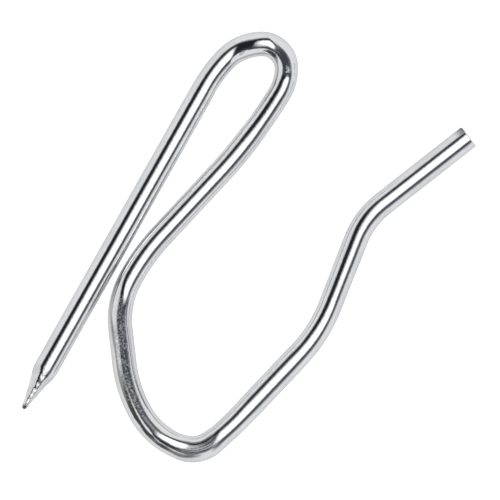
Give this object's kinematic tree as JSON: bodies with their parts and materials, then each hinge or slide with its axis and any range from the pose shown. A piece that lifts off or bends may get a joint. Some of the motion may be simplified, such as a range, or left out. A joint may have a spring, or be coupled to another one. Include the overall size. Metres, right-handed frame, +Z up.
{
  "type": "curtain hook",
  "caption": "Pin-on curtain hook of bent round wire: a straight ground pin, a hairpin loop, an elbow that pinches the cloth against the pin, and an open hook with a flared tail.",
  "frame": {"origin": "centre of the footprint, on the surface that the hook lies flat on", "axes": "+Y along the straight pin towards its ground point, which is up in use; +Z up, square to the plane that the wire is bent in; +X from the hook's tail towards the pin"},
  "size_m": [0.0203, 0.0336, 0.0018],
  "materials": {
    "plated_wire": "polished"
  },
  "bodies": {
    "root": {"hook": "plated_wire"}
  },
  "joints": []
}
